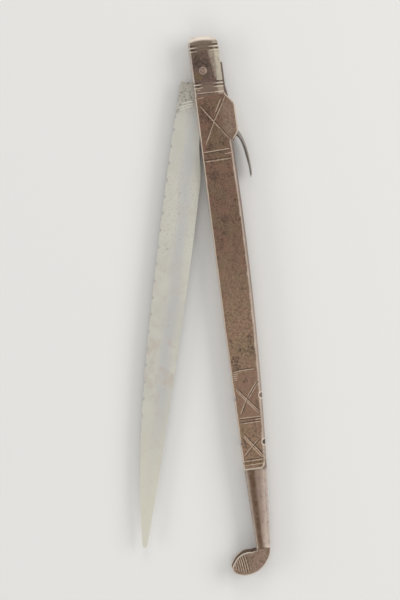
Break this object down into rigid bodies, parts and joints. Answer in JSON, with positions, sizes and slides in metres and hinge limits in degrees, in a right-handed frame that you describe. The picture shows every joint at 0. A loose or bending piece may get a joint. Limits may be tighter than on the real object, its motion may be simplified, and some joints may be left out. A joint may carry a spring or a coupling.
{
  "type": "pocket knife",
  "caption": "Long folding clasp knife with an iron handle, a notched tapered steel blade, a rocker lock lever on the back and a hooked tail knob.",
  "frame": {"origin": "on the blade's pivot axis, on the flat outer face of the rear bolster and cheek, on which the knife lies", "axes": "+X from the pivot to the tail, +Y towards the back of the handle with the lock lever, +Z towards the front face with the raised rivet head"},
  "size_m": [0.2709, 0.0786, 0.0105],
  "materials": {
    "blade_steel": "satin, lightly pitted",
    "lever_steel": "worn satin",
    "handle_iron": "brown patina, pitted",
    "worn_iron": "brown patina, worn bright at the edges",
    "pivot_brass": "dull, tarnished"
  },
  "bodies": {
    "handle": {"front_cheek": "handle_iron", "rear_cheek": "handle_iron", "front_bolster": "handle_iron", "rear_bolster": "handle_iron", "back_strip": "worn_iron", "front_tail": "handle_iron", "rear_tail": "handle_iron", "knob_spacer": "worn_iron", "pivot_rivet": "pivot_brass", "pivot_washers": "pivot_brass", "lever_pin": "worn_iron", "lever_spring": "lever_steel", "spring_rivets": "worn_iron", "stop_pin": "worn_iron", "bolster_rivets": "worn_iron", "cheek_rivets": "worn_iron", "tail_rivets": "worn_iron", "knob_rivet": "worn_iron"},
    "blade": {"blade": "blade_steel"},
    "lock_lever": {"lock_lever": "lever_steel"}
  },
  "joints": [
    {"name": "blade_pivot", "type": "hinge", "parent": "handle", "child": "blade", "pos_m": [0, 0, 0.005], "axis": [0, 0, -1], "range_deg": [-14.1, 165.9]},
    {"name": "lever_rock", "type": "hinge", "parent": "handle", "child": "lock_lever", "pos_m": [0.0245, 0.0106, 0.005], "axis": [0, 0, -1], "range_deg": [-2.9, 10], "stiffness_Nm_per_rad": 0.1, "deforming": ["lever_spring"]}
  ]
}
